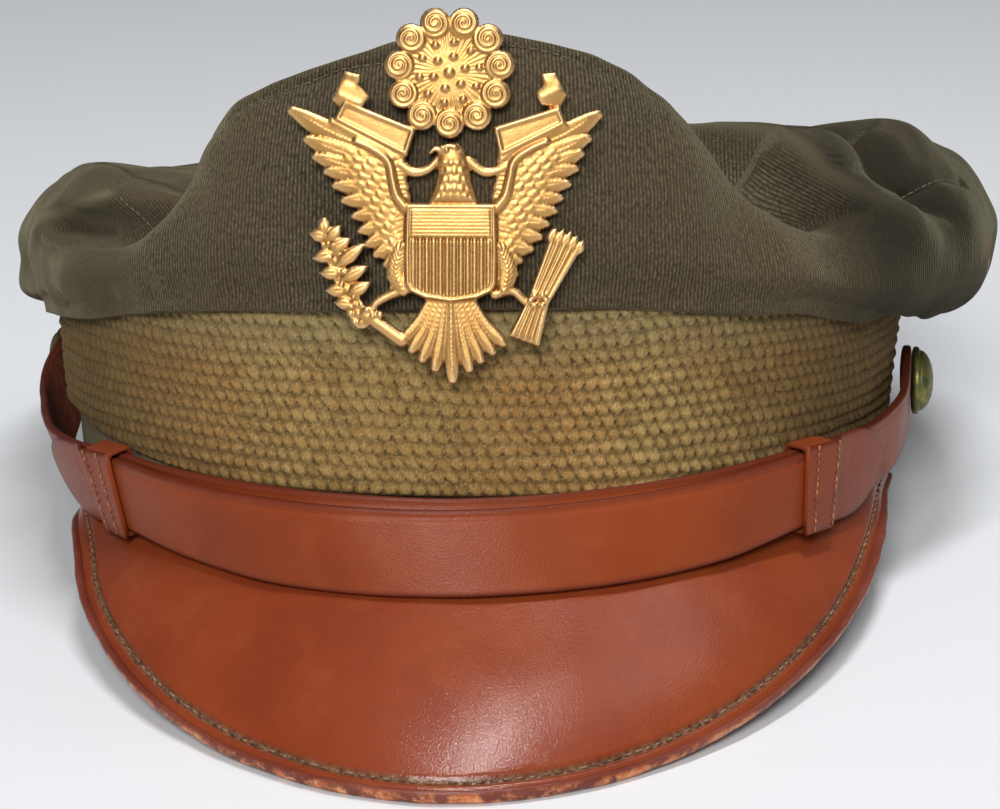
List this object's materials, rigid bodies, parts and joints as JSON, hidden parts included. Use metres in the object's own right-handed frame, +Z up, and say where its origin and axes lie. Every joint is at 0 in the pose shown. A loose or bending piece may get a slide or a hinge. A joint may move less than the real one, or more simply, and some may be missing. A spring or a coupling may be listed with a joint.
{
  "type": "crusher cap",
  "caption": "Soft-crowned officer's service cap: fallen wool crown, braided band, leather visor with rolled edge, two-layer chin strap with loops and side buttons, gilt eagle badge.",
  "frame": {"origin": "middle of the cap's outline on the surface it rests on, which is z = 0", "axes": "+Z up, front of the cap (badge and visor) toward -Y, the wearer's left side toward +X"},
  "size_m": [0.2077, 0.2689, 0.1237],
  "materials": {
    "wool": "dark olive-drab ribbed wool, matt",
    "band_cloth": "grey-green wool cloth",
    "mohair_braid": "olive-gold woven braid",
    "russet_leather": "polished russet leather",
    "edge_leather": "dark red rolled leather edge, worn",
    "gilt": "gilt, darkened in the recesses",
    "old_brass": "brass with green patina"
  },
  "bodies": {
    "root": {"crown": "wool", "band_base": "band_cloth", "braid": "mohair_braid", "visor": "russet_leather", "visor_edge": "edge_leather", "chin_strap_long": "russet_leather", "chin_strap_short": "russet_leather", "strap_loop_left": "russet_leather", "strap_loop_right": "russet_leather", "button_left": "old_brass", "button_right": "old_brass", "badge": "gilt"}
  },
  "joints": []
}
